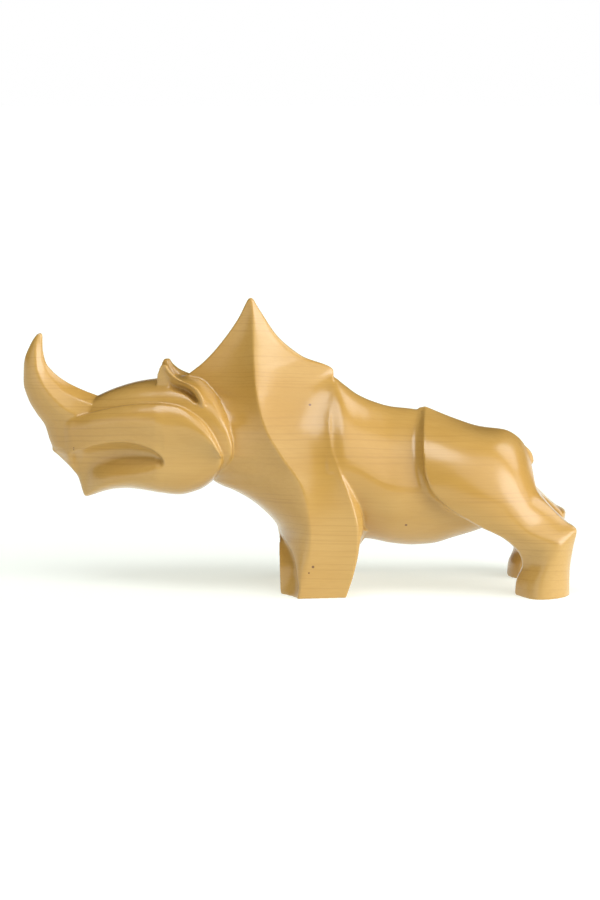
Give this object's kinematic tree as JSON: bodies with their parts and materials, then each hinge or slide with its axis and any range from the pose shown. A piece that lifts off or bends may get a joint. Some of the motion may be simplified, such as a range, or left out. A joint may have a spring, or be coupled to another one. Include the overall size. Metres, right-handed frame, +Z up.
{
  "type": "rhinoceros figurine",
  "caption": "Standing rhinoceros figurine carved from one piece of pale wood, with a tall pointed hump, an upright curved horn and smooth hollow panels meeting in crisp ridges.",
  "frame": {"origin": "on the ground under the middle of the figure's length and width", "axes": "+Z up, -X the way the animal faces, +Y its right-hand side, away from the picture's viewer"},
  "size_m": [0.301, 0.089, 0.159],
  "materials": {
    "satin_wood": "pale honey-coloured close-grained wood under a satin lacquer"
  },
  "bodies": {
    "root": {"rhinoceros": "satin_wood"}
  },
  "joints": []
}
